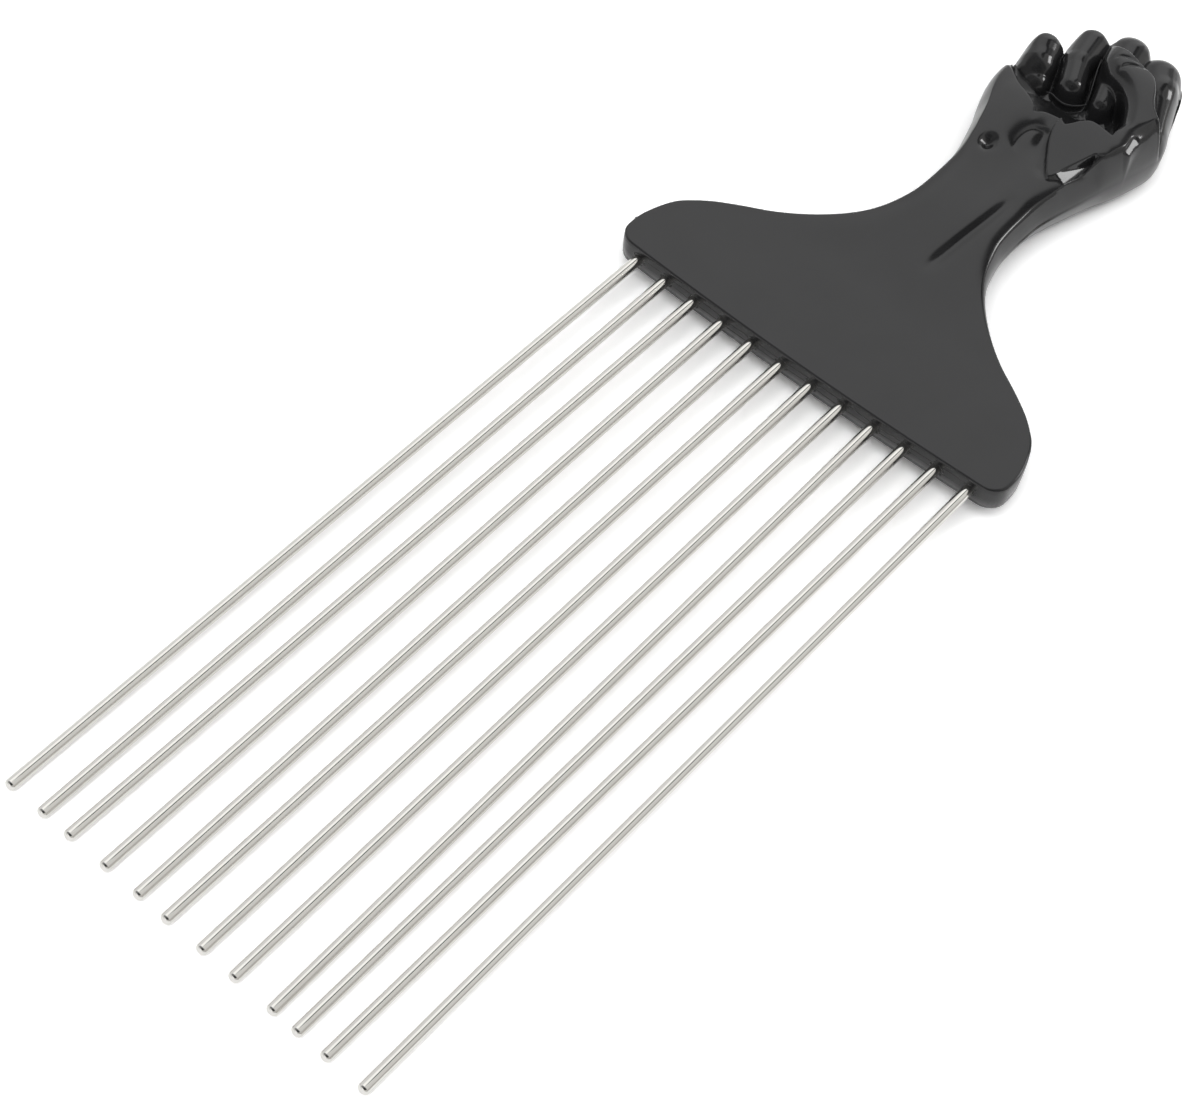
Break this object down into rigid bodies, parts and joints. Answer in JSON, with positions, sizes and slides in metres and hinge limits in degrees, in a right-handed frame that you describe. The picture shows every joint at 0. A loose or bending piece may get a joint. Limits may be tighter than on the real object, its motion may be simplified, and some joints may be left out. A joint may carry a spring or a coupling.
{
  "type": "hair pick",
  "caption": "Wide-tooth hair pick: long round steel wires moulded into a flat black plastic blade with a slim neck and a closed-fist grip.",
  "frame": {"origin": "centreline of the comb, halfway between the wire tips and the highest knuckle, on the plane through the lowest point of the back of the fist", "axes": "+X across the wires towards the thumb side, +Y along the handle from the wires towards the fist, +Z out of the palm side of the fist"},
  "size_m": [0.0826, 0.247, 0.0178],
  "materials": {
    "handle_plastic": "black moulded plastic with a polished skin",
    "wire_steel": "bright nickel-plated round wire"
  },
  "bodies": {
    "root": {"handle": "handle_plastic", "tooth_01": "wire_steel", "tooth_02": "wire_steel", "tooth_03": "wire_steel", "tooth_04": "wire_steel", "tooth_05": "wire_steel", "tooth_06": "wire_steel", "tooth_07": "wire_steel", "tooth_08": "wire_steel", "tooth_09": "wire_steel", "tooth_10": "wire_steel", "tooth_11": "wire_steel", "tooth_12": "wire_steel"}
  },
  "joints": []
}
